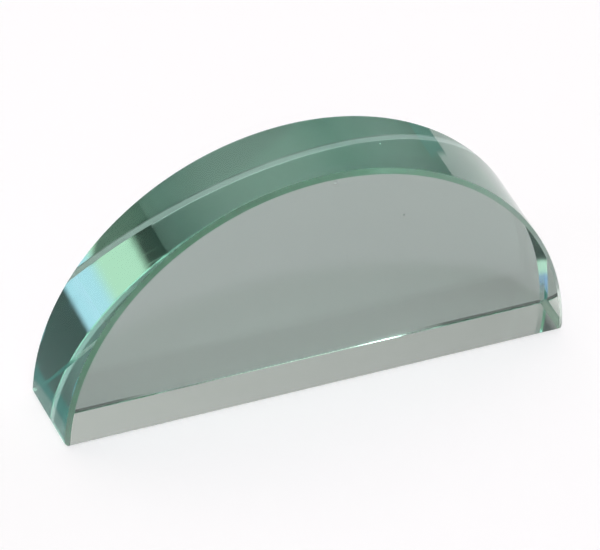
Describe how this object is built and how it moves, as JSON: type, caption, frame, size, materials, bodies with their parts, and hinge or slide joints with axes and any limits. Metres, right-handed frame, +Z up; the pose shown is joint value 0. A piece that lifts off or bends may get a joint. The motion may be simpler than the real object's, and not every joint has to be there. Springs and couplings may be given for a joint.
{
  "type": "semicircular glass block",
  "caption": "Half-disc block of clear green-tinted glass with polished faces and ground edges, standing on its flat face, for tracing light rays.",
  "frame": {"origin": "middle of the flat rectangular face that the block stands on", "axes": "+X along the diameter, +Y from the front polished face to the back one, +Z up to the crown of the curve"},
  "size_m": [0.1, 0.018, 0.05],
  "materials": {
    "glass": "polished clear glass with a green tint through its depth"
  },
  "bodies": {
    "root": {"glass_block": "glass"}
  },
  "joints": []
}
